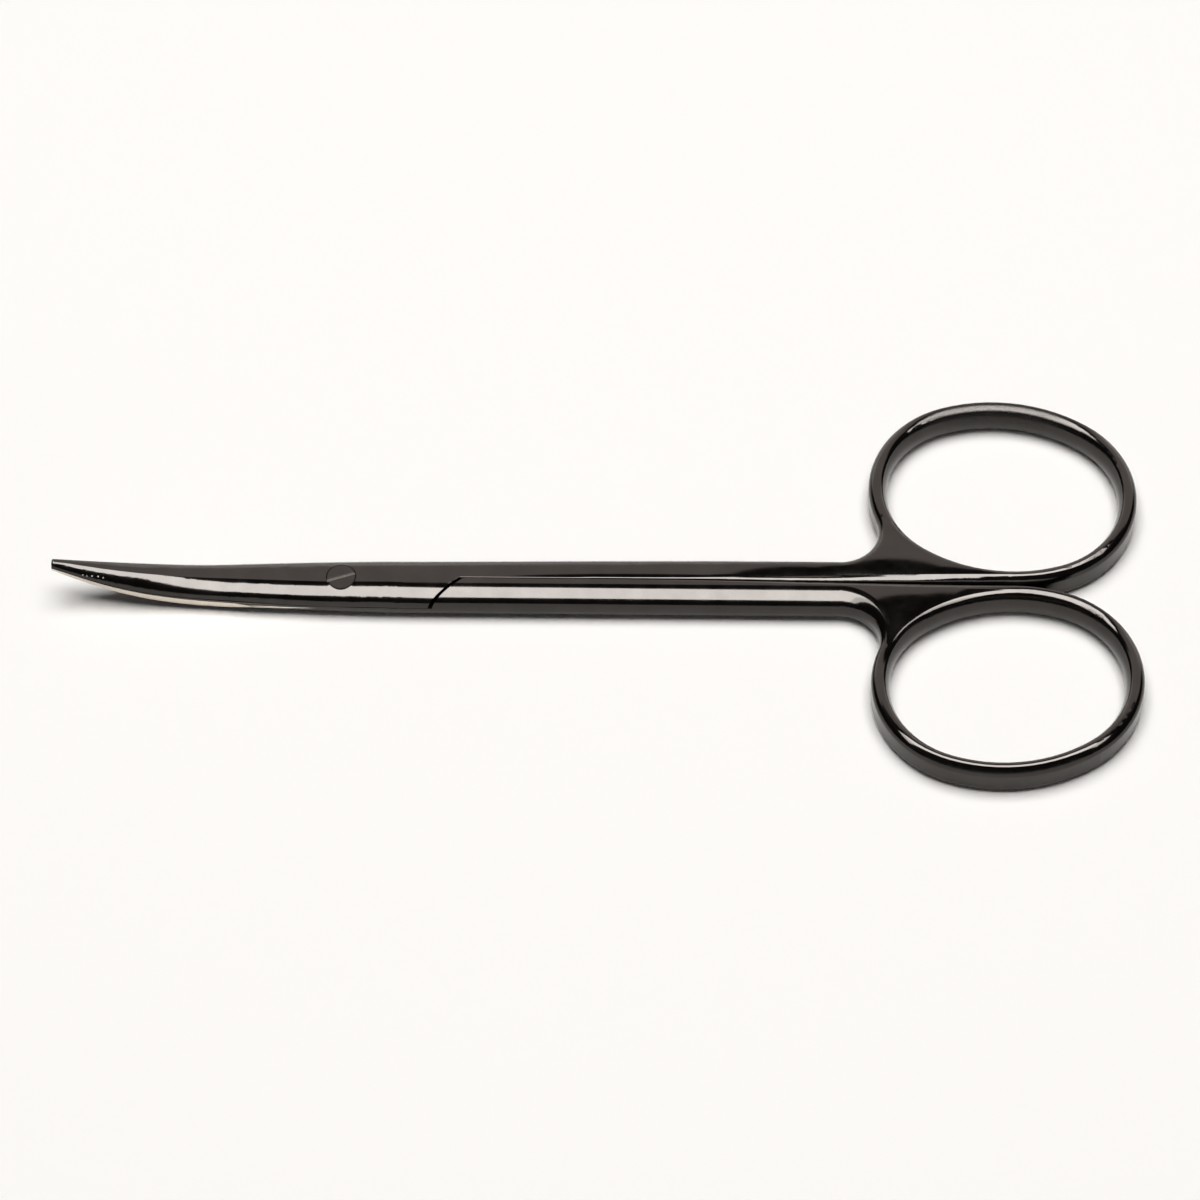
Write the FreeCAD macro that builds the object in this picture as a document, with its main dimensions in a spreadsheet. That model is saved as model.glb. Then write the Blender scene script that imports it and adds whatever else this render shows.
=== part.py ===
import FreeCAD, Part
import math
import os
import Sketcher
from FreeCAD import Placement, Rotation, Vector

# Curved strabismus scissors, shown closed.
#
# Two forged halves are lapped at the pivot and turn about the upright axis of the screw. The blades run
# along -X, the finger rings lie along +X, +Y is the far side and +Z is up. The scissors lie on z = 0.
# Everything is drawn from the axis of the screw, x = 0 and y = 0. The finished pieces are then moved
# along X by their placement, which puts the origin in the middle of the whole length.

# Driving sizes in millimetres and degrees: alias, value, meaning.
SIZES = [
    ("blade_reach", 30.3, "pivot to the tip"),
    ("box_width", 5.6, "width of the closed stem"),
    ("stock_height", 3.7, "height of the forging"),
    ("crown_round", 2.1, "rounding of the upper edge along the near side"),
    ("crown_tip_gain", 0.3, "how much fuller that rounding gets at the tip, as a share of the half width"),
    ("crown_far_round", 1.7, "rounding of the upper edge along the far side, at the box"),
    ("crown_end_round", 0.85, "rounding of the upper edge along the far side, at the hollow"),
    ("side_round", 1.5, "rounding of the lower outer edges"),
    ("box_front", 6.5, "pivot to where the blades reach the full width"),
    ("curve_start", 12.0, "distance from the pivot at which the blades begin to curve up"),
    ("curve_radius", 49.5, "radius of the upward curve"),
    ("blade_step", 0.4, "how far each cutting edge stands out past the back of the other blade"),
    ("bevel_end", 6.0, "pivot to the point in which a ground edge runs out"),
    ("bevel_inset", 0.15, "depth of the grinding at the cutting edge"),
    ("bevel_lean", 10.0, "lean of the ground facet"),
    ("tip_round", 0.22, "rounding of the blunt tip"),
    ("shoulder_near", 9.55, "pivot to the shoulder at the outside of the stem"),
    ("shoulder_far", 12.85, "pivot to the shoulder at the split between the shanks"),
    ("shoulder_gap", 0.3, "gap between a lap and the shoulder of the other half"),
    ("shoulder_round", 0.15, "broken edge at the end of a lap"),
    ("mating_gap", 0.05, "gap between the lapped faces"),
    ("split_gap", 0.1, "gap between the closed shanks"),
    ("split_round", 0.1, "broken edge along the split"),
    ("split_round_from", 30.0, "pivot to where the edge along the split begins to round off"),
    ("ring_place", 69.65, "pivot to the middle of the finger rings"),
    ("ring_half_length", 13.25, "long half axis of a ring, at the middle of its band"),
    ("ring_half_width", 11.07, "short half axis of a ring, at the middle of its band"),
    ("ring_side_radius", 16.8, "radius of the long sides of the oval, at the middle of the band"),
    ("ring_band", 1.96, "width of the band"),
    ("ring_round", 0.93, "rounding of the band at the outside of the ring"),
    ("band_crest", 0.62, "radius of the crest of the band at the inside of the ring"),
    ("crest_rise", 0.003, "how far the crest would stand above the flats, which cut it off"),
    ("ring_turn", 8.3, "turn of the oval towards the split"),
    ("fork_radius", 4.2, "hollow between the shank and the ring"),
    ("screw_head", 3.1, "diameter of the screw head"),
    ("head_depth", 1.0, "depth of the screw head"),
    ("screw_neck", 2.3, "diameter of the plain neck"),
    ("screw_thread", 2.0, "diameter of the threaded end"),
    ("slot_width", 0.45, "width of the slot"),
    ("slot_depth", 0.3, "depth of the slot"),
    ("slot_turn", 19.0, "turn of the slot from the length of the scissors"),
    ("running_fit", 0.03, "clearance round the screw"),
]

# Sections of the closed blades: share of the way from the tip to the box, share of the box width, and
# share of the height of the forging.
BLADE_STATIONS = [
    (0.0, 0.19, 0.28),
    (0.04, 0.30, 0.37),
    (0.13, 0.49, 0.51),
    (0.25, 0.66, 0.66),
    (0.40, 0.765, 0.78),
    (0.54, 0.825, 0.87),
    (0.70, 0.90, 0.94),
    (0.85, 0.965, 0.98),
    (1.0, 1.0, 1.0),
]

doc = FreeCAD.newDocument("strabismus_scissors")
sheet = doc.addObject("Spreadsheet::Sheet", "sizes")


def fill_sheet():
    """Writes the driving sizes into the sheet, one row each."""
    for row, (alias, value, meaning) in enumerate(SIZES, start=1):
        sheet.set(f"A{row}", meaning)
        sheet.set(f"B{row}", str(value))
        sheet.setAlias(f"B{row}", alias)
    doc.recompute()


def size(alias):
    """Reads one driving size from the sheet."""
    return float(sheet.get(alias))


fill_sheet()

HALF_WIDTH = size("box_width") / 2
HEIGHT = size("stock_height")
MATING_HEIGHT = HEIGHT / 2
SPLIT = size("split_gap") / 2
BLADE_LENGTH = size("blade_reach") + size("box_front")
# Radius of the ends of a ring's oval, which follows from its half axes and the radius of its long sides.
END_RADIUS = (
    "((2 * sizes.ring_side_radius * sizes.ring_half_width - sizes.ring_half_length^2"
    " - sizes.ring_half_width^2) / (2 * (sizes.ring_side_radius - sizes.ring_half_length)))"
)
# Where the rings end, and with it the move that brings the origin to the middle of the length.
RING_END = (
    f"sizes.ring_place + (sizes.ring_half_length - {END_RADIUS}) * cos(sizes.ring_turn)"
    f" + {END_RADIUS} + sizes.ring_band / 2"
)
TO_MIDDLE = f"(sizes.blade_reach - ({RING_END})) / 2"
# Cutting tools run this far past what they cut.
PAST = 4.0
# The blade sections run this far past the mating face, which is cut afterwards.
LAP_SPARE = 0.4
# How much smaller the openings of the rings are cut than they end up.
OPENING_SPARE = 0.3


def bound(obj, prop, expression):
    """Binds a property of an object to an expression on the sheet."""
    obj.setExpression(prop, expression)


def add_outline(sketch, edges):
    """Adds a closed run of lines and arcs to a sketch and ties their ends. An edge is (start, end) for
    a line and (start, end, centre, radius, counterclockwise) for an arc. Returns the index of each."""
    indices = []
    for edge in edges:
        if len(edge) == 2:
            indices.append(sketch.addGeometry(Part.LineSegment(edge[0], edge[1]), False))
            continue
        start, end, centre, radius, ccw = edge
        first, last = (start, end) if ccw else (end, start)
        a = math.atan2(first.y - centre.y, first.x - centre.x)
        b = math.atan2(last.y - centre.y, last.x - centre.x)
        circle = Part.Circle(centre, Vector(0, 0, 1), radius)
        last_angle = b if b > a else b + 2 * math.pi
        indices.append(sketch.addGeometry(Part.ArcOfCircle(circle, a, last_angle), False))
    for place, edge in enumerate(edges):
        following = (place + 1) % len(edges)
        ahead = edges[following]
        end_point = 2 if len(edge) == 2 or edge[4] else 1
        start_point = 1 if len(ahead) == 2 or ahead[4] else 2
        joined = Sketcher.Constraint("Coincident", indices[place], end_point, indices[following], start_point)
        sketch.addConstraint(joined)
    return indices


def side_radius_of(long_half, short_half, end_radius):
    """Radius of the long sides of an oval of four tangent arcs."""
    end_offset = long_half - end_radius
    return (end_offset**2 + short_half**2 - end_radius**2) / (2 * (short_half - end_radius))


class RingPlan:
    """Plan of one finger ring: an oval of four tangent arcs, turned towards the split. side is +1 for the
    far ring and -1 for the near one."""

    def __init__(self, side):
        self.side = side
        self.half_band = size("ring_band") / 2
        self.side_radius = size("ring_side_radius")
        half_length = size("ring_half_length")
        half_width = size("ring_half_width")
        self.end_radius = (2 * self.side_radius * half_width - half_length**2 - half_width**2) / (
            2 * (self.side_radius - half_length))
        end_offset = half_length - self.end_radius
        rise = self.side_radius - half_width
        turn = -math.radians(size("ring_turn"))
        along = Vector(math.cos(turn), math.sin(turn), 0)
        across = Vector(-math.sin(turn), math.cos(turn), 0)
        # The ring just touches the plane of the split face.
        middle_y = SPLIT + self.side_radius + self.half_band - rise * across.y
        self.middle = Vector(size("ring_place"), middle_y, 0)
        self.inner_side = self.middle + across * rise
        self.outer_side = self.middle - across * rise
        self.fork_end = self.middle - along * end_offset
        self.far_end = self.middle + along * end_offset

    def corner(self, side_centre, end_centre, offset):
        """Point where a long arc meets an end arc, at an offset from the middle of the band."""
        direction = (end_centre - side_centre).normalize()
        return side_centre + direction * (self.side_radius + offset)

    def oval(self, offset):
        """The four arcs of the whole oval at an offset from the middle of the band."""
        wide = self.side_radius + offset
        tight = self.end_radius + offset
        low_far = self.corner(self.inner_side, self.far_end, offset)
        high_far = self.corner(self.outer_side, self.far_end, offset)
        high_fork = self.corner(self.outer_side, self.fork_end, offset)
        low_fork = self.corner(self.inner_side, self.fork_end, offset)
        return [
            (low_fork, low_far, self.inner_side, wide, True),
            (low_far, high_far, self.far_end, tight, True),
            (high_far, high_fork, self.outer_side, wide, True),
            (high_fork, low_fork, self.fork_end, tight, True),
        ]


def shoulder_slope():
    """Run of the shoulder along X for each millimetre across."""
    return (size("shoulder_far") - size("shoulder_near")) / (HALF_WIDTH - SPLIT)


def across_split(point):
    """The same point on the other side of the split plane."""
    return Vector(point.x, -point.y, point.z)


def mirrored(edges, side):
    """Mirrors an outline in the split plane for the near half, and keeps it running counterclockwise."""
    if side > 0:
        return edges
    turned = []
    for edge in reversed(edges):
        start, end = across_split(edge[1]), across_split(edge[0])
        if len(edge) == 2:
            turned.append((start, end))
        else:
            turned.append((start, end, across_split(edge[2]), edge[3], edge[4]))
    return turned


def fork_points(ring):
    """Middle of the hollow between shank and ring, and where it meets the shank and the ring."""
    hollow = size("fork_radius")
    reach = hollow + ring.end_radius + ring.half_band
    middle_y = HALF_WIDTH + hollow
    run = math.sqrt(reach**2 - (ring.fork_end.y - middle_y) ** 2)
    middle = Vector(ring.fork_end.x - run, middle_y, 0)
    on_shank = Vector(middle.x, HALF_WIDTH, 0)
    on_ring = middle + (ring.fork_end - middle).normalize() * hollow
    return middle, on_shank, on_ring


def stock_outline(side):
    """Plan of the box, shank, fork and ring of one half."""
    ring = RingPlan(side)
    slope = shoulder_slope()
    angle = math.atan2(1.0, slope)
    set_back = size("shoulder_gap") / math.sin(angle)
    front = size("box_front")
    lap_side = Vector(size("shoulder_near") - set_back, -HALF_WIDTH, 0)
    lap_split = Vector(size("shoulder_far") - set_back + 2 * SPLIT * slope, SPLIT, 0)
    round_from = Vector(size("split_round_from"), SPLIT, 0)
    touch = Vector(ring.inner_side.x, SPLIT, 0)
    arcs = ring.oval(ring.half_band)
    hollow, on_shank, on_ring = fork_points(ring)
    edges = [
        (Vector(front, -HALF_WIDTH, 0), lap_side),
        (lap_side, lap_split),
        (lap_split, round_from),
        (round_from, touch),
        (touch, *arcs[0][1:]),
        arcs[1],
        arcs[2],
        (arcs[3][0], on_ring, *arcs[3][2:]),
        (on_ring, on_shank, hollow, size("fork_radius"), False),
        (on_shank, Vector(front, HALF_WIDTH, 0)),
        (Vector(front, HALF_WIDTH, 0), Vector(front, -HALF_WIDTH, 0)),
    ]
    # The opening is cut smaller here. The cutter that rounds its side brings it to size.
    return mirrored(edges, side), mirrored(ring.oval(-ring.half_band - OPENING_SPARE), side)


def make_opening_cutter(name, side):
    """Cutter that rounds the inside of a ring. Its section follows the inner half of the band: an oval
    that stands upright, with a tight crest and flat sides."""
    ring = RingPlan(side)
    crest = size("band_crest")
    half_height = MATING_HEIGHT + size("crest_rise")
    flat = side_radius_of(half_height, ring.half_band, crest)
    flat_centre = Vector(flat - ring.half_band, MATING_HEIGHT, 0)
    high = Vector(0, MATING_HEIGHT + half_height - crest, 0)
    low = Vector(0, MATING_HEIGHT - half_height + crest, 0)
    high_join = flat_centre + (high - flat_centre).normalize() * flat
    low_join = flat_centre + (low - flat_centre).normalize() * flat
    inside = -ring.half_band - 2 * OPENING_SPARE
    high_crest = high + Vector(0, crest, 0)
    low_crest = low - Vector(0, crest, 0)
    edges = [
        (Vector(0, -PAST, 0), low_crest),
        (low_crest, low_join, low, crest, False),
        (low_join, high_join, flat_centre, flat, False),
        (high_join, high_crest, high, crest, False),
        (high_crest, Vector(0, HEIGHT + PAST, 0)),
        (Vector(0, HEIGHT + PAST, 0), Vector(inside, HEIGHT + PAST, 0)),
        (Vector(inside, HEIGHT + PAST, 0), Vector(inside, -PAST, 0)),
        (Vector(inside, -PAST, 0), Vector(0, -PAST, 0)),
    ]
    line = ring.oval(0.0)
    path = doc.addObject("Sketcher::SketchObject", name + "_band_line")
    add_outline(path, mirrored(line, side))
    start, centre = line[0][0], line[0][2]
    outwards = (start - centre).normalize()
    if side < 0:
        start, outwards = across_split(start), across_split(outwards)
    profile = doc.addObject("Sketcher::SketchObject", name + "_band_section")
    upright = Rotation(outwards, Vector(0, 0, 1), outwards.cross(Vector(0, 0, 1)), "XYZ")
    profile.Placement = Placement(start, upright)
    add_outline(profile, edges)
    doc.recompute()
    cutter = doc.addObject("Part::Sweep", name + "_opening_cutter")
    cutter.Sections = [profile]
    cutter.Spine = (path, [f"Edge{n}" for n in range(1, len(line) + 1)])
    cutter.Solid = True
    cutter.Frenet = True
    doc.recompute()
    return cutter


def make_stock(name, side):
    """Forged stock of one half behind the blade: box, shank, fork and ring at full height, with its
    long edges rounded."""
    outline, opening = stock_outline(side)
    sketch = doc.addObject("Sketcher::SketchObject", name + "_plan")
    add_outline(sketch, outline)
    add_outline(sketch, opening)
    stock = doc.addObject("Part::Extrusion", name + "_stock")
    stock.Base = sketch
    stock.DirMode = "Custom"
    stock.Dir = Vector(0, 0, 1)
    stock.Solid = True
    stock.FaceMakerClass = "Part::FaceMakerBullseye"
    bound(stock, "LengthFwd", "sizes.stock_height")
    doc.recompute()
    rounded = doc.addObject("Part::Fillet", name + "_rounded")
    rounded.Base = stock
    rounded.Edges = stock_roundings(stock.Shape, side)
    doc.recompute()
    return combine("Part::Cut", name + "_opened", rounded, make_opening_cutter(name, side))


def in_opening(edge, ring):
    """Whether an edge of the stock is one of the arcs round the opening of the ring."""
    inset = ring.half_band + OPENING_SPARE
    radii = (ring.side_radius - inset, ring.end_radius - inset)
    return isinstance(edge.Curve, Part.Circle) and min(abs(edge.Curve.Radius - r) for r in radii) < 1e-6


def stock_roundings(shape, side):
    """Rounding of each long edge of the stock, as (edge number, radius at its start, radius at its end),
    where the start is the one that the outline comes to first."""
    ring = RingPlan(side)
    on_shank = fork_points(ring)[1]
    ring_round, split_round = size("ring_round"), size("split_round")
    small = 1e-4
    roundings = []
    for number, edge in enumerate(shape.Edges, start=1):
        box = edge.BoundBox
        level = box.ZMax - box.ZMin < small
        along = box.YMax - box.YMin < small
        if not level or abs(box.XMax - size("box_front")) < small:
            continue
        if in_opening(edge, ring):
            continue
        high = box.ZMin > MATING_HEIGHT
        box_end = ring_end = size("crown_round") if high else size("side_round")
        if high and side > 0 and box.YMin > 0:
            box_end, ring_end = size("crown_far_round"), size("crown_end_round")
        if box.XMax < on_shank.x + small and abs(abs(box.YMin) - HALF_WIDTH) < small and along:
            long_edge = box.XMax > on_shank.x - small
            radii = (ring_end, box_end) if long_edge else (box_end, box_end)
        elif box.XMax < size("shoulder_far") and not along:
            radii = (size("shoulder_round"), size("shoulder_round"))
        elif box.XMax < size("split_round_from") + small:
            radii = (split_round, split_round)
        elif along:
            radii = (split_round, ring_round)
        elif abs(box.XMin - on_shank.x) < small:
            radii = (ring_round, ring_end)
        else:
            radii = (ring_round, ring_round)
        roundings.append((number, *(radii if side > 0 else reversed(radii))))
    return roundings


class BladeSection:
    """Sizes of the lapped blades at one distance from the tip, given as a share of their length."""

    def __init__(self, share):
        self.x = share * BLADE_LENGTH - size("blade_reach")
        self.half_width = HALF_WIDTH * between_stations(share, 1)
        self.height = HEIGHT * between_stations(share, 2)
        narrowing = 1 - self.half_width / HALF_WIDTH
        self.near_crown = self.half_width * (size("crown_round") / HALF_WIDTH + size("crown_tip_gain") * narrowing)
        self.far_crown = self.half_width * size("crown_far_round") / HALF_WIDTH
        self.side_round = size("side_round") * self.height / HEIGHT
        curved = max(0.0, -self.x - size("curve_start"))
        self.mating = MATING_HEIGHT + size("curve_radius") - math.sqrt(size("curve_radius") ** 2 - curved**2)
        # 0 where the ground edge runs out, 1 at the tip.
        self.ground = max(0.0, (-self.x - size("bevel_end")) / (size("blade_reach") - size("bevel_end")))
        step_share = math.sin(math.pi / 2 * min(1.0, 2 * self.ground))
        self.step = size("blade_step") * step_share * self.half_width / HALF_WIDTH
        # The grinding starts clear of the side and reaches its full depth at the tip.
        self.inset = size("bevel_inset") * (1 - 2 * (1 - self.ground) ** 3)


def between_stations(share, column):
    """One value of the blade sections, in proportion between two stations."""
    for low, high in zip(BLADE_STATIONS, BLADE_STATIONS[1:]):
        if share <= high[0]:
            part = (share - low[0]) / (high[0] - low[0])
            return low[column] + part * (high[column] - low[column])
    return BLADE_STATIONS[-1][column]


def section_sketch(name, x, edges):
    """Sketch in an upright plane across the scissors at x. Its own x runs along +Y and its y along +Z."""
    sketch = doc.addObject("Sketcher::SketchObject", name)
    upright = Rotation(Vector(0, 1, 0), Vector(0, 0, 1), Vector(1, 0, 0), "XYZ")
    sketch.Placement = Placement(Vector(x, 0, 0), upright)
    add_outline(sketch, edges)
    return sketch


def blade_section(side, station):
    """Outline of one blade: flat outside, round shoulders, and sides that run past the mating face."""
    edge = side * station.half_width
    back = -side * (station.half_width - station.step)
    outside = station.mating + side * station.height / 2
    inside = station.mating - side * LAP_SPARE
    near, far = min(edge, back), max(edge, back)
    near_round = station.near_crown if side > 0 else station.side_round
    far_round = station.far_crown if side > 0 else station.side_round
    near_side = Vector(near, outside - side * near_round, 0)
    near_flat = Vector(near + near_round, outside, 0)
    far_flat = Vector(far - far_round, outside, 0)
    far_side = Vector(far, outside - side * far_round, 0)
    return [
        (Vector(near, inside, 0), near_side),
        (near_side, near_flat, Vector(near_flat.x, near_side.y, 0), near_round, side < 0),
        (near_flat, far_flat),
        (far_flat, far_side, Vector(far_flat.x, far_side.y, 0), far_round, side < 0),
        (far_side, Vector(far, inside, 0)),
        (Vector(far, inside, 0), Vector(near, inside, 0)),
    ]


def make_blade(name, side):
    """Blade of one half, lofted from its sections, with the blunt tip rounded."""
    sketches = []
    for number, (share, _, _) in enumerate(BLADE_STATIONS):
        station = BladeSection(share)
        sketches.append(section_sketch(f"{name}_section_{number}", station.x, blade_section(side, station)))
    blade = doc.addObject("Part::Loft", name + "_blade")
    blade.Sections = sketches
    blade.Solid = True
    blade.Ruled = False
    doc.recompute()
    rounded = doc.addObject("Part::Fillet", name + "_tip")
    rounded.Base = blade
    tip = BladeSection(0.0)
    nose_edges = [
        number
        for number, edge in enumerate(blade.Shape.Edges, start=1)
        if edge.BoundBox.XMax < tip.x + 1e-3 and side * (edge.CenterOfMass.z - tip.mating) > -LAP_SPARE / 2
    ]
    rounded.Edges = [(number, size("tip_round"), size("tip_round")) for number in nose_edges]
    doc.recompute()
    return rounded


def make_mating_cutter(name, side):
    """What is cut away below the upper half's mating face, or above the lower half's. The face is turned
    about the screw, so that the curved blades pass each other at every opening."""
    gap = size("mating_gap") / 2
    level = MATING_HEIGHT + side * gap
    start = size("curve_start")
    radius = size("curve_radius")
    reach = size("blade_reach") + PAST
    end = level + radius - math.sqrt(radius**2 - (reach - start) ** 2)
    beyond = -PAST if side > 0 else HEIGHT + 2 * PAST + end
    edges = [
        (Vector(0, beyond, 0), Vector(reach, beyond, 0)),
        (Vector(reach, beyond, 0), Vector(reach, end, 0)),
        (Vector(reach, end, 0), Vector(start, level, 0), Vector(start, level + radius, 0), radius, False),
        (Vector(start, level, 0), Vector(0, level, 0)),
        (Vector(0, level, 0), Vector(0, beyond, 0)),
    ]
    sketch = doc.addObject("Sketcher::SketchObject", name + "_mating_profile")
    sketch.Placement = Placement(Vector(), Rotation(Vector(1, 0, 0), 90))
    add_outline(sketch, edges)
    turned = doc.addObject("Part::Revolution", name + "_mating_turned")
    turned.Source = sketch
    turned.Axis = Vector(0, 0, 1)
    turned.Base = Vector()
    turned.Angle = 360
    turned.Solid = True
    # Only what lies in front of the shoulder is lapped.
    slope = shoulder_slope()
    far = Vector(size("shoulder_far"), SPLIT, 0)
    across = 3 * HALF_WIDTH
    side_end = Vector(size("shoulder_far") - slope * (across - SPLIT), across, 0)
    corners = [
        Vector(-reach - PAST, -across, 0),
        Vector(size("shoulder_far"), -across, 0),
        far,
        side_end,
        Vector(-reach - PAST, across, 0),
    ]
    plan = [(corners[n], corners[(n + 1) % len(corners)]) for n in range(len(corners))]
    region_sketch = doc.addObject("Sketcher::SketchObject", name + "_lap_plan")
    region_sketch.Placement = Placement(Vector(0, 0, -2 * PAST), Rotation())
    add_outline(region_sketch, mirrored(plan, side))
    region = doc.addObject("Part::Extrusion", name + "_lap_region")
    region.Base = region_sketch
    region.DirMode = "Custom"
    region.Dir = Vector(0, 0, 1)
    region.Solid = True
    region.LengthFwd = HEIGHT + 8 * PAST
    cutter = doc.addObject("Part::Common", name + "_mating_cutter")
    cutter.Base = turned
    cutter.Tool = region
    doc.recompute()
    return cutter


def make_bevel_cutter(name, side):
    """Wedge that grinds the facet along the cutting edge, from the tip to where it runs out."""
    lean = math.tan(math.radians(size("bevel_lean")))
    end_share = (size("blade_reach") - size("bevel_end")) / BLADE_LENGTH
    shares = (0.0, 0.08, 0.25, 0.5, 0.75, 1.0)
    sketches = []
    for number, share in enumerate(shares):
        station = BladeSection(share * end_share)
        root = station.half_width - station.inset
        deep = station.height / 2 + LAP_SPARE
        low = station.mating - side * LAP_SPARE
        high = station.mating + side * deep
        out = station.half_width + 1.0
        points = [
            Vector(side * (root + LAP_SPARE * lean), low, 0),
            Vector(side * out, low, 0),
            Vector(side * out, high, 0),
            Vector(side * (root - deep * lean), high, 0),
        ]
        edges = [(points[n], points[(n + 1) % len(points)]) for n in range(len(points))]
        # The first section stands clear of the tip.
        x = station.x - (1.0 if number == 0 else 0.0)
        sketches.append(section_sketch(f"{name}_bevel_{number}", x, edges))
    cutter = doc.addObject("Part::Loft", name + "_bevel_cutter")
    cutter.Sections = sketches
    cutter.Solid = True
    cutter.Ruled = False
    doc.recompute()
    return cutter


def combine(kind, name, first, second):
    """One boolean of two objects."""
    result = doc.addObject(kind, name)
    result.Base = first
    result.Tool = second
    return result


def cylinder(name, diameter, low, high):
    """Upright cylinder on the axis of the screw. The diameter is an expression on the sheet."""
    shape = doc.addObject("Part::Cylinder", name)
    bound(shape, "Radius", f"({diameter}) / 2")
    bound(shape, "Height", f"({high}) - ({low})")
    bound(shape, "Placement.Base.z", low)
    return shape


def make_blank(name, side):
    """One half before its screw hole: stock and blade joined, lapped and ground."""
    whole = combine("Part::Fuse", name + "_forging", make_stock(name, side), make_blade(name, side))
    lapped = combine("Part::Cut", name + "_lapped", whole, make_mating_cutter(name, side))
    return combine("Part::Cut", name + "_ground", lapped, make_bevel_cutter(name, side))


def make_upper_half():
    """Upper half: a counterbore for the screw head and a plain bore for its neck."""
    blank = make_blank("upper_half", 1)
    head = cylinder("head_seat", "sizes.screw_head + 2 * sizes.running_fit",
                    "sizes.stock_height - sizes.head_depth - sizes.running_fit", "sizes.stock_height + 1")
    neck = cylinder("neck_bore", "sizes.screw_neck + 2 * sizes.running_fit", "-1", "sizes.stock_height + 1")
    return combine("Part::Cut", "upper_half_bored", blank, combine("Part::Fuse", "upper_bore", head, neck))


def make_lower_half():
    """Lower half: the tapped hole, at the diameter of the thread."""
    blank = make_blank("lower_half", -1)
    hole = cylinder("tapped_hole", "sizes.screw_thread + sizes.running_fit", "-1", "sizes.stock_height + 1")
    return combine("Part::Cut", "lower_half_tapped", blank, hole)


def make_screw(upper_forging):
    """Pivot screw: the head is ground off flush with the upper half, and so takes its crown."""
    head = cylinder("head", "sizes.screw_head", "sizes.stock_height - sizes.head_depth", "sizes.stock_height + 1")
    crowned = combine("Part::Common", "crowned_head", head, upper_forging)
    neck = cylinder("neck", "sizes.screw_neck", "sizes.stock_height / 2", "sizes.stock_height - sizes.head_depth")
    thread = cylinder("thread", "sizes.screw_thread", "sizes.running_fit", "sizes.stock_height / 2")
    body = combine("Part::Fuse", "screw_body", combine("Part::Fuse", "head_and_neck", crowned, neck), thread)
    slot = doc.addObject("Part::Box", "slot")
    bound(slot, "Length", "2 * sizes.screw_head")
    bound(slot, "Width", "sizes.slot_width")
    bound(slot, "Height", "2 * sizes.slot_depth")
    turn = math.radians(size("slot_turn"))
    corner = Vector(-size("screw_head"), -size("slot_width") / 2, 0)
    turned = Vector(corner.x * math.cos(turn) - corner.y * math.sin(turn),
                    corner.x * math.sin(turn) + corner.y * math.cos(turn), HEIGHT - size("slot_depth"))
    slot.Placement = Placement(turned, Rotation(Vector(0, 0, 1), size("slot_turn")))
    return combine("Part::Cut", "pivot_screw_slotted", body, slot)


upper = make_upper_half()
lower = make_lower_half()
screw = make_screw(doc.getObject("upper_half_forging"))
doc.recompute()

PARTS = {"upper_half": upper, "lower_half": lower, "pivot_screw": screw}
for label, part in PARTS.items():
    part.Label = label
    bound(part, "Placement.Base.x", TO_MIDDLE)
doc.recompute()

for obj in doc.Objects:
    if "Invalid" in obj.State or "Error" in obj.State:
        raise RuntimeError(f"{obj.Name} failed: {obj.State}")
for label, part in PARTS.items():
    shape = part.Shape
    if shape.isNull() or not shape.isValid() or len(shape.Solids) != 1:
        raise RuntimeError(f"{label} is not one valid solid")

os.makedirs("parts", exist_ok=True)
for label, part in PARTS.items():
    part.Shape.exportStep(f"parts/{label}.step")
    box = part.Shape.optimalBoundingBox()
    print(f"{label}: {part.Shape.Volume:.2f} mm3, X {box.XMin:.2f}..{box.XMax:.2f}, "
          f"Y {box.YMin:.2f}..{box.YMax:.2f}, Z {box.ZMin:.2f}..{box.ZMax:.2f}")
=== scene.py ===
import logging
import math
from dataclasses import dataclass
from enum import Enum

import bpy
from mathutils import Matrix, Vector

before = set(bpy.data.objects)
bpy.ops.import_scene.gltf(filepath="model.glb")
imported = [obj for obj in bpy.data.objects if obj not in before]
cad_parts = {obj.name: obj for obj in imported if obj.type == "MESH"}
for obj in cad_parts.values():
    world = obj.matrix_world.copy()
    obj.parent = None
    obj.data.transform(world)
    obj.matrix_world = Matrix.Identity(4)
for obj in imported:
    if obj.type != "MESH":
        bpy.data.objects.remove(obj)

logging.basicConfig(level=logging.INFO, format="%(name)s: %(message)s")
LOG = logging.getLogger("scissors")

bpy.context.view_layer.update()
MM = 0.001
# Where the axis of the screw stands along the scissors, in millimetres.
SCREW_AXIS = -26.775

Point = tuple[float, float, float]
Colour = tuple[float, float, float]
Socket = bpy.types.NodeSocket


class Node(Enum):
    """The three pieces of the scissors, as model.glb names them."""

    UPPER = "upper_half"
    LOWER = "lower_half"
    SCREW = "pivot_screw"


@dataclass(frozen=True)
class Patch:
    """An ellipsoid on a piece.

    Args:
        middle: Its middle, in metres.
        reach: Its three half axes, in metres.
    """

    middle: Point
    reach: Point


@dataclass(frozen=True)
class Lean:
    """A place where the polished surface is shaded as if it leaned towards the near side.

    Args:
        patch: Where it is.
        soft: Share of the patch over which it fades out.
        top: Slope that is added where the surface is level.
        shoulder: Slope that is added where the surface already turns down towards the near side.
        steep: Upright share of the normal at which the surface is too steep to lean.
    """

    patch: Patch
    soft: float
    top: float
    shoulder: float
    steep: float = 0.45


def patch_mm(middle: Point, reach: Point) -> Patch:
    """Gives a patch from sizes in millimetres."""
    return Patch(tuple(m * MM for m in middle), tuple(r * MM for r in reach))


def shade(colour: Colour, share: float) -> Colour:
    """Makes a colour darker, or lighter where the share is over 1."""
    return tuple(share * c for c in colour)


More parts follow.
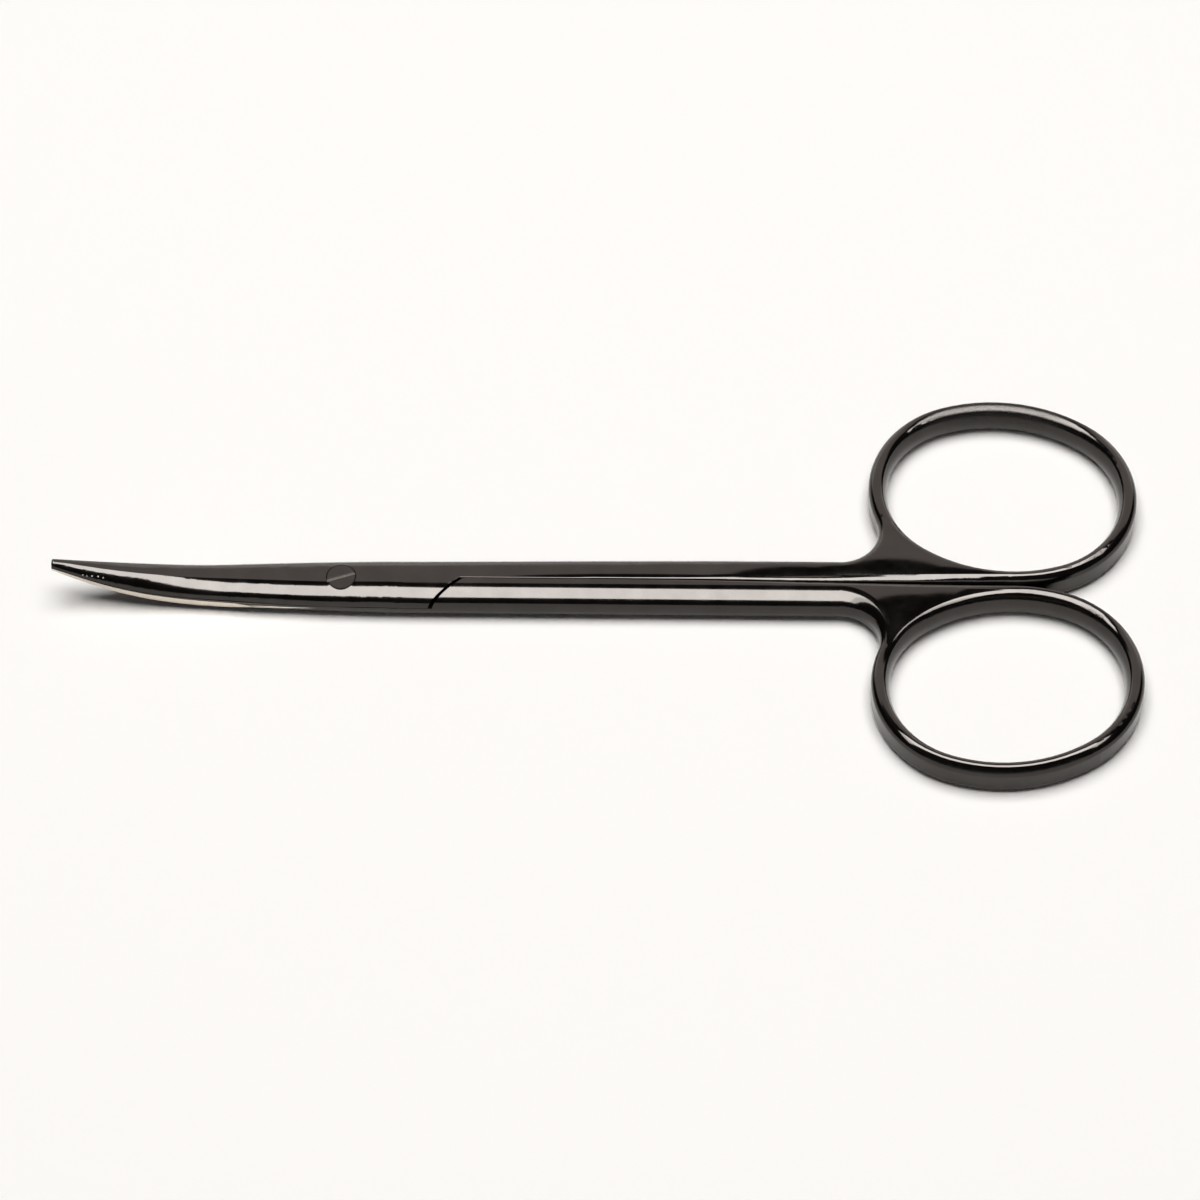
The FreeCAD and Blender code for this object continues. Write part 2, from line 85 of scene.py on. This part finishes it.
def deselect_all() -> None:
    """Leaves nothing selected and no object in edit mode."""
    if bpy.context.mode != "OBJECT":
        bpy.ops.object.mode_set(mode="OBJECT")
    bpy.ops.object.select_all(action="DESELECT")


# A lean goes from its top to its shoulder as the share of the normal along Y falls from LEVEL to SHOULDER,
# and it is whole where the upright share of the normal is UPRIGHT or more.
LEVEL = -0.03
SHOULDER = -0.3
UPRIGHT = 0.95
# Places of the two colours and the mixed colour among the sockets of a Mix node.
MIX_FIRST, MIX_SECOND, MIX_RESULT = 6, 7, 2


@dataclass
class NodeTree:
    """Short ways to build the nodes of one material."""

    material: bpy.types.Material

    def __post_init__(self) -> None:
        """Starts from an empty node tree."""
        self.material.use_nodes = True
        self.material.node_tree.nodes.clear()

    def add(self, kind: str, **settings: object) -> bpy.types.Node:
        """Adds one node.

        Args:
            kind: Blender's name of the node type.
            **settings: Properties of the node, or values of its sockets by socket name.

        Returns:
            The new node.
        """
        node = self.material.node_tree.nodes.new(kind)
        for name, value in settings.items():
            if name in node.inputs:
                node.inputs[name].default_value = value
            else:
                setattr(node, name, value)
        return node

    def link(self, start: Socket, end: Socket) -> None:
        """Joins an output socket to an input socket."""
        self.material.node_tree.links.new(start, end)

    def place(self) -> Socket:
        """Adds the object's own coordinates, in metres."""
        return self.add("ShaderNodeTexCoord").outputs["Object"]

    def noise(self, place: Socket, scale: Point, detail: float) -> Socket:
        """Adds a noise, stretched as its three scales differ.

        Args:
            place: The coordinates that it reads.
            scale: Grains per metre along X, Y and Z.
            detail: Number of finer layers.

        Returns:
            The noise, from 0 to 1.
        """
        stretch = self.add("ShaderNodeMapping", Scale=scale)
        self.link(place, stretch.inputs["Vector"])
        noise = self.add("ShaderNodeTexNoise", Scale=1.0, Detail=detail, Roughness=0.6)
        self.link(stretch.outputs["Vector"], noise.inputs["Vector"])
        return noise.outputs["Fac"]

    def map_range(self, source: Socket, low: float, high: float, to_low: float, to_high: float) -> Socket:
        """Scales a value from one range to another, held at its ends.

        Args:
            source: The value to scale.
            low: Start of the range it comes from.
            high: End of the range it comes from.
            to_low: What the start becomes.
            to_high: What the end becomes.

        Returns:
            The scaled value.
        """
        ends = {"From Min": low, "From Max": high, "To Min": to_low, "To Max": to_high}
        node = self.add("ShaderNodeMapRange", **ends)
        self.link(source, node.inputs["Value"])
        return node.outputs["Result"]

    def combine(self, operation: str, first: Socket, second: Socket) -> Socket:
        """Adds, multiplies or compares two values.

        Args:
            operation: Blender's name of the operation.
            first: The first value.
            second: The second value.

        Returns:
            The result.
        """
        node = self.add("ShaderNodeMath", operation=operation)
        self.link(first, node.inputs[0])
        self.link(second, node.inputs[1])
        return node.outputs["Value"]

    def mask(self, place: Socket, patch: Patch, soft: float) -> Socket:
        """Adds a mask that is 1 inside a patch and fades to 0 at its edge.

        Args:
            place: The coordinates that it reads.
            patch: The patch.
            soft: Share of the patch over which it fades.

        Returns:
            The mask.
        """
        scale = tuple(1.0 / r for r in patch.reach)
        shift = tuple(-m * s for m, s in zip(patch.middle, scale))
        centred = self.add("ShaderNodeMapping", Scale=scale, Location=shift)
        self.link(place, centred.inputs["Vector"])
        length = self.add("ShaderNodeVectorMath", operation="LENGTH")
        self.link(centred.outputs["Vector"], length.inputs[0])
        return self.map_range(length.outputs["Value"], 1.0 - soft, 1.0, 1.0, 0.0)

    def tint(self, share: Socket, low: Colour | Socket, high: Colour | Socket) -> Socket:
        """Mixes two colours.

        Args:
            share: How much of the second colour there is.
            low: The first colour.
            high: The second colour.

        Returns:
            The mixed colour.
        """
        mix = self.add("ShaderNodeMix", data_type="RGBA")
        self.link(share, mix.inputs["Factor"])
        for colour, end in ((low, mix.inputs[MIX_FIRST]), (high, mix.inputs[MIX_SECOND])):
            if isinstance(colour, tuple):
                end.default_value = (*colour, 1.0)
            else:
                self.link(colour, end)
        return mix.outputs[MIX_RESULT]

    def leaning(self, place: Socket, leans: tuple[Lean, ...]) -> Socket:
        """Leans the shading of the surface, which crowns what is drawn flat.

        Args:
            place: The coordinates that it reads.
            leans: The places, each with how far it leans.

        Returns:
            The normal.
        """
        upright = self.add("ShaderNodeSeparateXYZ")
        self.link(self.add("ShaderNodeTexCoord").outputs["Normal"], upright.inputs[0])
        normal = self.add("ShaderNodeNewGeometry").outputs["Normal"]
        for lean in leans:
            mask = self.mask(place, lean.patch, lean.soft)
            slope = self.map_range(upright.outputs["Y"], SHOULDER, LEVEL, lean.shoulder, lean.top)
            steep = self.map_range(upright.outputs["Z"], lean.steep, UPRIGHT, 0.0, 1.0)
            amount = self.combine("MULTIPLY", mask, self.combine("MULTIPLY", slope, steep))
            across = self.add("ShaderNodeVectorMath", operation="SCALE")
            across.inputs[0].default_value = (0.0, -1.0, 0.0)
            self.link(amount, across.inputs["Scale"])
            turned = self.add("ShaderNodeVectorTransform", convert_from="OBJECT", convert_to="WORLD")
            self.link(across.outputs["Vector"], turned.inputs["Vector"])
            added = self.add("ShaderNodeVectorMath", operation="ADD")
            self.link(normal, added.inputs[0])
            self.link(turned.outputs["Vector"], added.inputs[1])
            normal = added.outputs["Vector"]
        whole = self.add("ShaderNodeVectorMath", operation="NORMALIZE")
        self.link(normal, whole.inputs[0])
        return whole.outputs["Vector"]

    def finish(self, shader: bpy.types.Node) -> bpy.types.Material:
        """Joins the shader to the output.

        Args:
            shader: The shader node.

        Returns:
            The finished material.
        """
        self.link(shader.outputs[0], self.add("ShaderNodeOutputMaterial").inputs["Surface"])
        return self.material

    def polished(self, colour: Socket, roughness: Socket, bump: bpy.types.Node) -> bpy.types.Material:
        """Finishes the material as metal.

        Args:
            colour: Its colour.
            roughness: Its roughness.
            bump: The bump node that gives its normal.

        Returns:
            The finished material.
        """
        shader = self.add("ShaderNodeBsdfPrincipled", Metallic=1.0)
        self.link(colour, shader.inputs["Base Color"])
        self.link(roughness, shader.inputs["Roughness"])
        self.link(bump.outputs["Normal"], shader.inputs["Normal"])
        return self.finish(shader)


# The middle part of a noise, where most of its values lie.
NOISE_BAND = (0.3, 0.7)
# Height of the marks that a bump shows at full strength, in metres.
MARK_HEIGHT = 0.00002


@dataclass(frozen=True)
class BlackCoating:
    """Glossy black coating on polished forged steel.

    It carries a faint mottle and fine polishing marks along the shank. Where the piece has them, it also
    carries patches that were left rough, cross marks, chips that show bare steel, places that lean, and
    painted shade that darkens it to near black in a gap.

    Args:
        name: Name of the material.
        colour: Colour of the coating.
        steel: Colour of the bare steel in the chips.
        roughness: Roughness of the polished coating.
        rough: Patches that were left rough.
        ribbed: Patches with cross marks.
        chips: Chips in the coating.
        leans: Places that lean.
        painted_shade_rim: Patch outside which the coating is darkened to near black, as painted shade for
            the shade inside a gap.
        mottle: Grains per metre of the mottle.
        mottle_shades: Darkest and lightest share of the colour in the mottle.
        mottle_gloss: How far the mottle takes the roughness down and up.
        speckle: Grains per metre of the speckle in the rough patches and the chips.
        speckle_shade: Darkest share of the colour in the speckle.
        polish: Grains per metre of the polishing marks.
        polish_height: Height of the polishing marks, as a share of a whole mark.
        ribs: Scale of the cross marks.
        rib_height: Height of the cross marks, as a share of a whole mark.
        speckle_height: Height of the speckle, in whole marks.
        rough_matt: How much rougher the rough patches are.
        chip_roughness: Roughness of the bare steel in the chips.
        painted_gap_shade: Share of the colour that is left where shade is painted inside a gap.
        bump: Strength of all the marks.
    """

    name: str
    colour: Colour = (0.050, 0.0463, 0.0437)
    steel: Colour = (0.42, 0.41, 0.39)
    roughness: float = 0.12
    rough: tuple[Patch, ...] = ()
    ribbed: tuple[Patch, ...] = ()
    chips: tuple[Patch, ...] = ()
    leans: tuple[Lean, ...] = ()
    painted_shade_rim: Patch | None = None
    mottle: Point = (420.0, 420.0, 420.0)
    mottle_shades: tuple[float, float] = (0.90, 1.08)
    mottle_gloss: tuple[float, float] = (-0.03, 0.04)
    speckle: Point = (6000.0, 9000.0, 9000.0)
    speckle_shade: float = 0.55
    polish: Point = (220.0, 4200.0, 4200.0)
    polish_height: float = 0.35
    ribs: float = 650.0
    rib_height: float = 0.5
    speckle_height: float = 5.0
    rough_matt: float = 0.14
    chip_roughness: float = 0.45
    painted_gap_shade: float = 0.15
    bump: float = 0.12

    def build(self) -> bpy.types.Material:
        """Builds the material.

        Returns:
            The material.
        """
        tree = NodeTree(bpy.data.materials.new(self.name))
        place = tree.place()
        mottle = tree.noise(place, self.mottle, detail=5.0)
        grain = tree.noise(place, self.speckle, detail=3.0)
        polish = tree.noise(place, self.polish, detail=3.0)
        clouds = tree.map_range(mottle, *NOISE_BAND, 0.0, 1.0)
        colour = tree.tint(clouds, *(shade(self.colour, share) for share in self.mottle_shades))
        gloss = (self.roughness + step for step in self.mottle_gloss)
        roughness = tree.map_range(mottle, *NOISE_BAND, *gloss)
        height = tree.map_range(polish, 0.0, 1.0, 0.0, self.polish_height)
        for patch in self.rough:
            mask = tree.mask(place, patch, soft=0.5)
            dark = tree.combine("MULTIPLY", mask, tree.map_range(grain, 0.35, 0.65, 0.0, 1.0))
            colour = tree.tint(dark, colour, shade(self.colour, self.speckle_shade))
            roughness = tree.combine("ADD", roughness, tree.map_range(mask, 0.0, 1.0, 0.0, self.rough_matt))
            pits = tree.combine("MULTIPLY", mask, tree.map_range(grain, 0.2, 0.8, 0.0, self.speckle_height))
            height = tree.combine("ADD", height, pits)
        for patch in self.ribbed:
            mask = tree.mask(place, patch, soft=0.6)
            wave = tree.add("ShaderNodeTexWave", Scale=self.ribs, Distortion=0.6, Detail=1.0)
            tree.link(place, wave.inputs["Vector"])
            ribs = tree.map_range(wave.outputs["Fac"], 0.0, 1.0, 0.0, self.rib_height)
            height = tree.combine("ADD", height, tree.combine("MULTIPLY", mask, ribs))
        for patch in self.chips:
            bare = tree.map_range(grain, 0.35, 0.5, 0.4, 1.0)
            mask = tree.combine("MULTIPLY", tree.mask(place, patch, soft=0.3), bare)
            colour = tree.tint(mask, colour, self.steel)
            matt = tree.map_range(mask, 0.0, 1.0, 0.0, self.chip_roughness)
            roughness = tree.combine("MAXIMUM", roughness, matt)
        # Painted shade: outside the patch the coating is darkened to near black, for the shade in the gap
        # round the screw's head.
        if self.painted_shade_rim:
            inside = tree.mask(place, self.painted_shade_rim, soft=0.05)
            colour = tree.tint(inside, shade(self.colour, self.painted_gap_shade), colour)
        bump = tree.add("ShaderNodeBump", Strength=self.bump, Distance=MARK_HEIGHT)
        tree.link(height, bump.inputs["Height"])
        if self.leans:
            tree.link(tree.leaning(place, self.leans), bump.inputs["Normal"])
        return tree.polished(colour, roughness, bump)


@dataclass(frozen=True)
class GroundSteel:
    """Bare steel of a ground edge, with fine grinding marks across it and a little staining.

    Args:
        name: Name of the material.
        colour: Colour of the clean steel.
        roughness: Roughness between the marks.
        grinding: Grains per metre of the grinding marks.
        grinding_shade: Darkest share of the colour in the marks.
        grinding_gloss: How far the marks take the roughness down and up.
        stains: Grains per metre of the stains.
        stain_shade: Share of the colour that is left in a stain.
        bump: Strength of the grinding marks.
    """

    name: str = "ground_steel"
    colour: Colour = (0.70, 0.64, 0.56)
    roughness: float = 0.38
    grinding: Point = (9000.0, 900.0, 900.0)
    grinding_shade: float = 0.84
    grinding_gloss: tuple[float, float] = (-0.05, 0.08)
    stains: Point = (500.0, 500.0, 500.0)
    stain_shade: float = 0.6
    bump: float = 0.15

    def build(self) -> bpy.types.Material:
        """Builds the material.

        Returns:
            The material.
        """
        tree = NodeTree(bpy.data.materials.new(self.name))
        place = tree.place()
        marks = tree.noise(place, self.grinding, detail=4.0)
        stains = tree.map_range(tree.noise(place, self.stains, detail=4.0), 0.6, 0.75, 0.0, 0.5)
        clean = tree.map_range(marks, *NOISE_BAND, 0.0, 1.0)
        ground = tree.tint(clean, shade(self.colour, self.grinding_shade), self.colour)
        colour = tree.tint(stains, ground, shade(self.colour, self.stain_shade))
        gloss = (self.roughness + step for step in self.grinding_gloss)
        roughness = tree.map_range(marks, *NOISE_BAND, *gloss)
        bump = tree.add("ShaderNodeBump", Strength=self.bump, Distance=MARK_HEIGHT)
        tree.link(marks, bump.inputs["Height"])
        return tree.polished(colour, roughness, bump)


@dataclass
class ForgedHalf:
    """One forged half: blade, box, shank and finger ring in one piece of steel.

    Args:
        node: The solid of the half.
        side: +1 for the half with the far ring and -1 for the one with the near ring. The ground edge of its
            blade lies on the same side.
        coating: Its black coating.
        steel: The bare steel of its ground edge.
        edge_end: Where the ground edge runs out, in metres from the screw.
        outward: Least outward share of the normal on the ground edge.
        upward: Lowest and highest upright share of the normal there.
    """

    node: Node
    side: int
    coating: bpy.types.Material
    steel: bpy.types.Material
    edge_end: float = 5.5 * MM
    outward: float = 0.9
    upward: tuple[float, float] = (0.1, 0.25)

    def on_ground_edge(self, face: bpy.types.MeshPolygon) -> bool:
        """Tells whether a face belongs to the ground edge.

        Args:
            face: The face.

        Returns:
            Whether it does.
        """
        ahead = face.center.x < SCREW_AXIS * MM - self.edge_end
        outward, upward = self.side * face.normal.y, self.side * face.normal.z
        return ahead and outward > self.outward and self.upward[0] < upward < self.upward[1]

    def dress(self) -> None:
        """Gives the half its coating, and bare steel along the cutting edge."""
        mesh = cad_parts[self.node.value].data
        mesh.materials.clear()
        mesh.materials.append(self.coating)
        mesh.materials.append(self.steel)
        ground = 0
        for face in mesh.polygons:
            face.material_index = 1 if self.on_ground_edge(face) else 0
            ground += face.material_index
        LOG.info("%s: %d faces, %d of them ground", self.node.value, len(mesh.polygons), ground)


@dataclass
class PivotScrew:
    """The slotted screw that holds the halves together.

    Args:
        coating: The coating on its head.
        steel: The steel at the bottom of its slot, given a dark colour as painted shade in the slot.
        slot_floor: Height of the bottom of the slot, in metres.
        slack: How far from that height a face may lie, in metres.
        level: Least upright share of the normal on the bottom of the slot.
    """

    coating: bpy.types.Material
    steel: bpy.types.Material
    slot_floor: float = 3.4 * MM
    slack: float = 0.05 * MM
    level: float = 0.99

    def dress(self) -> None:
        """Gives the screw its coating, and steel with a dark colour of painted shade at the bottom of the
        slot.
        """
        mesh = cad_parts[Node.SCREW.value].data
        mesh.materials.clear()
        mesh.materials.append(self.coating)
        mesh.materials.append(self.steel)
        for face in mesh.polygons:
            bottom = face.normal.z > self.level and abs(face.center.z - self.slot_floor) < self.slack
            face.material_index = 1 if bottom else 0
        LOG.info("%s: %d faces", Node.SCREW.value, len(mesh.polygons))


class Reach(Enum):
    """What a lamp lights."""

    GLOSS = "gloss"
    MATT = "matt"


@dataclass(frozen=True)
class Lamp:
    """One soft box, turned to face the scissors.

    Args:
        name: Name of the lamp.
        middle: Where its middle is, in metres.
        size: Its width along X and its length, in metres.
        radiance: How bright its face is, where 1 shows as white.
        colour: Its colour.
        reach: Whether it only shows in glossy surfaces or only lights matt ones.
    """

    name: str
    middle: Point
    size: tuple[float, float]
    radiance: float
    colour: Colour
    reach: Reach

    def build(self) -> None:
        """Adds the lamp."""
        light = bpy.data.lights.new(self.name, "AREA")
        light.shape = "RECTANGLE"
        light.size, light.size_y = self.size
        light.color = self.colour
        light.energy = self.radiance * math.pi * self.size[0] * self.size[1]
        lamp = bpy.data.objects.new(self.name, light)
        bpy.context.scene.collection.objects.link(lamp)
        lamp.visible_camera = False
        lamp.visible_diffuse = self.reach is Reach.MATT
        lamp.visible_glossy = self.reach is Reach.GLOSS
        middle = Vector(self.middle)
        away = middle.normalized()
        across = Vector((1.0, 0.0, 0.0))
        up = away.cross(across).normalized()
        lamp.matrix_world = Matrix.Translation(middle) @ Matrix((across, up, away)).transposed().to_4x4()


BOX_WHITE = (1.0, 1.0, 0.99)
LAMP_WHITE = (1.0, 0.99, 0.975)
WALL_PAINT = (1.0, 0.92, 0.89)
LAMPS = (
    Lamp("soft_box", (0.0, -0.438, 0.899), (1.3, 1.15), 8.4, BOX_WHITE, Reach.GLOSS),
    Lamp("soft_box_core", (0.0, -0.430, 0.88), (0.7, 1.12), 4.8, BOX_WHITE, Reach.GLOSS),
    Lamp("overhead", (0.0, 0.10, 1.1), (0.85, 0.75), 6.8, LAMP_WHITE, Reach.MATT),
    Lamp("far_wall", (0.0, 0.95, 0.60), (2.6, 1.3), 1.26, WALL_PAINT, Reach.GLOSS),
    Lamp("far_wall_foot", (0.0, 0.95, 0.24), (2.6, 0.56), 0.8, WALL_PAINT, Reach.GLOSS),
)


@dataclass(frozen=True)
class Studio:
    """The table, the room, the lamps and the camera.

    Args:
        look_at: The point in the middle of the picture, in metres.
        distance: How far from there the camera stands, in metres.
        elevation: How steeply it looks down, in degrees.
        azimuth: How far round from the near side it stands, in degrees.
        roll: How far it is turned about its own axis, in degrees.
        focal_length: Focal length of its lens, in millimetres.
        sensor_width: Width of its picture, in millimetres.
        clip_start: Nearest distance that it shows, in metres.
        floor_half: Half the side of the table, in metres.
        floor_colour: Colour of the table's paper.
        floor_tooth: Grains per metre of the paper.
        floor_shade: Darkest share of its colour in the tooth.
        room_colour: Colour of the room in the gloss of the scissors.
    """

    look_at: Point = (0.000367, -0.000127, 0.0)
    distance: float = 0.632
    elevation: float = 54.0
    azimuth: float = 1.56
    roll: float = 0.78
    focal_length: float = 180.0
    sensor_width: float = 36.0
    clip_start: float = 0.01
    floor_half: float = 3.0
    floor_colour: Colour = (0.985, 0.975, 0.96)
    floor_tooth: Point = (900.0, 900.0, 900.0)
    floor_shade: float = 0.995
    room_colour: Colour = (0.05, 0.047, 0.045)

    def add_camera(self) -> None:
        """Adds the camera at the photograph's viewing angle."""
        azimuth, elevation = math.radians(self.azimuth), math.radians(self.elevation)
        right = Vector((math.cos(azimuth), math.sin(azimuth), 0.0))
        forward = Vector((-math.sin(azimuth), math.cos(azimuth), 0.0))
        view = math.cos(elevation) * forward - math.sin(elevation) * Vector((0.0, 0.0, 1.0))
        up = right.cross(view)
        turn = math.radians(self.roll)
        side = math.cos(turn) * right - math.sin(turn) * up
        top = math.sin(turn) * right + math.cos(turn) * up
        data = bpy.data.cameras.new("camera")
        data.sensor_width = self.sensor_width
        data.lens = self.focal_length
        data.clip_start = self.clip_start
        camera = bpy.data.objects.new("camera", data)
        bpy.context.scene.collection.objects.link(camera)
        place = Vector(self.look_at) - self.distance * view
        camera.matrix_world = Matrix.Translation(place) @ Matrix((side, top, -view)).transposed().to_4x4()
        bpy.context.scene.camera = camera

    def add_floor(self) -> None:
        """Adds the pale table, a matt paper with a faint tooth."""
        deselect_all()
        bpy.ops.mesh.primitive_plane_add(size=2 * self.floor_half, location=(0.0, 0.0, 0.0))
        floor = bpy.context.active_object
        floor.name = "table"
        tree = NodeTree(bpy.data.materials.new("table_paper"))
        tooth = tree.noise(tree.place(), self.floor_tooth, detail=3.0)
        colour = tree.tint(tooth, shade(self.floor_colour, self.floor_shade), self.floor_colour)
        diffuse = tree.add("ShaderNodeBsdfDiffuse")
        tree.link(colour, diffuse.inputs["Color"])
        floor.data.materials.append(tree.finish(diffuse))

    def add_room(self) -> None:
        """Adds the room: dark in the gloss of the scissors, and white behind the table to the camera."""
        world = bpy.data.worlds.new("room")
        bpy.context.scene.world = world
        world.use_nodes = True
        nodes, links = world.node_tree.nodes, world.node_tree.links
        room = nodes["Background"]
        room.inputs["Color"].default_value = (*self.room_colour, 1.0)
        white = nodes.new("ShaderNodeBackground")
        white.inputs["Color"].default_value = (1.0, 1.0, 1.0, 1.0)
        path = nodes.new("ShaderNodeLightPath")
        mix = nodes.new("ShaderNodeMixShader")
        links.new(path.outputs["Is Camera Ray"], mix.inputs["Fac"])
        links.new(room.outputs["Background"], mix.inputs[1])
        links.new(white.outputs["Background"], mix.inputs[2])
        links.new(mix.outputs["Shader"], nodes["World Output"].inputs["Surface"])

    def build(self) -> None:
        """Sets up the whole studio."""
        bpy.context.scene.view_settings.view_transform = "Standard"
        self.add_floor()
        self.add_room()
        for lamp in LAMPS:
            lamp.build()
        self.add_camera()


# Half axes of a chip, and the chips near the tip, in millimetres.
CHIP_REACH = (0.10, 0.10, 0.10)
TIP_CHIPS = (
    (-53.79, -0.78, 4.57),
    (-53.37, -0.81, 4.47),
    (-52.84, -0.79, 4.42),
    (-52.20, -0.77, 4.33),
    (-51.67, -0.82, 4.20),
)
ROUGH_RING_BACK = patch_mm((43.0, 23.3, 3.3), (13.0, 3.5, 3.0))
CROSS_MARKS = patch_mm((21.8, -2.0, 3.2), (3.2, 3.0, 2.0))
# Along the upper half: the blade's tip, the split behind the shoulder and along the stem, the three parts of
# the fork's web, the back of the ring and its front.
UPPER_LEANS = (
    Lean(patch_mm((-53.0, -0.8, 4.5), (15.0, 4.0, 4.0)), soft=0.6, top=0.0, shoulder=0.62, steep=0.2),
    Lean(patch_mm((-9.0, 0.0, 3.7), (9.0, 0.8, 3.0)), soft=0.3, top=0.0, shoulder=-0.60, steep=0.0),
    Lean(patch_mm((6.0, 0.0, 3.7), (20.0, 0.8, 3.0)), soft=0.8, top=0.26, shoulder=0.30),
    Lean(patch_mm((21.0, 0.0, 3.7), (10.0, 2.4, 3.0)), soft=0.7, top=0.20, shoulder=-0.35, steep=0.0),
    Lean(patch_mm((31.0, 0.0, 3.7), (9.0, 3.8, 3.0)), soft=1.0, top=0.31, shoulder=0.0, steep=0.2),
    Lean(patch_mm((40.0, 0.0, 3.7), (7.0, 2.4, 3.0)), soft=0.7, top=0.16, shoulder=0.50, steep=0.2),
    Lean(patch_mm((44.0, 22.0, 3.3), (15.0, 4.5, 3.0)), soft=0.5, top=0.36, shoulder=0.12),
    Lean(patch_mm((48.0, 2.5, 3.3), (9.0, 4.5, 3.0)), soft=0.5, top=0.05, shoulder=0.90),
)
# Along the lower half: the two parts of the fork's web, the back of the ring and its front.
LOWER_LEANS = (
    Lean(patch_mm((30.0, -6.2, 3.7), (7.5, 5.4, 3.0)), soft=0.8, top=0.18, shoulder=0.18),
    Lean(patch_mm((37.0, -2.8, 3.7), (8.0, 2.4, 3.0)), soft=1.0, top=0.16, shoulder=0.16),
    Lean(patch_mm((48.0, -3.0, 3.3), (11.0, 5.0, 3.0)), soft=0.5, top=0.40, shoulder=0.50),
    Lean(patch_mm((42.0, -23.0, 3.3), (15.0, 6.0, 3.0)), soft=0.5, top=0.10, shoulder=1.10),
)
# The screw's head is shaded level. Round it the coating carries painted shade, darkened to near black for
# the shade in the gap.
SCREW_LEAN = Lean(
    patch_mm((SCREW_AXIS, 0.0, 3.7), (2.0, 2.0, 3.0)), soft=0.1, top=0.0, shoulder=-0.30, steep=0.0
)
SCREW_PAINTED_SHADE_RIM = patch_mm((SCREW_AXIS, 0.0, 3.7), (1.5, 1.5, 3.0))


def main() -> None:
    """Dresses the scissors and builds the studio in order."""
    steel = GroundSteel().build()
    upper_coating = BlackCoating(
        "black_coating_upper",
        rough=(ROUGH_RING_BACK,),
        chips=tuple(patch_mm(place, CHIP_REACH) for place in TIP_CHIPS),
        leans=UPPER_LEANS,
    )
    lower_coating = BlackCoating("black_coating_lower", ribbed=(CROSS_MARKS,), leans=LOWER_LEANS)
    # The screw's coating carries the painted shade in the gap round its head.
    screw_coating = BlackCoating("black_coating_screw", roughness=0.16, painted_shade_rim=SCREW_PAINTED_SHADE_RIM, leans=(SCREW_LEAN,))
    # The bottom of the slot is steel darkened with painted shade, for the shade inside the slot.
    slot_steel_painted_shade = GroundSteel("slot_steel_painted_shade", (0.18, 0.168, 0.157))
    ForgedHalf(Node.UPPER, 1, upper_coating.build(), steel).dress()
    ForgedHalf(Node.LOWER, -1, lower_coating.build(), steel).dress()
    PivotScrew(screw_coating.build(), slot_steel_painted_shade.build()).dress()
    Studio().build()


if __name__ == "__main__":
    main()
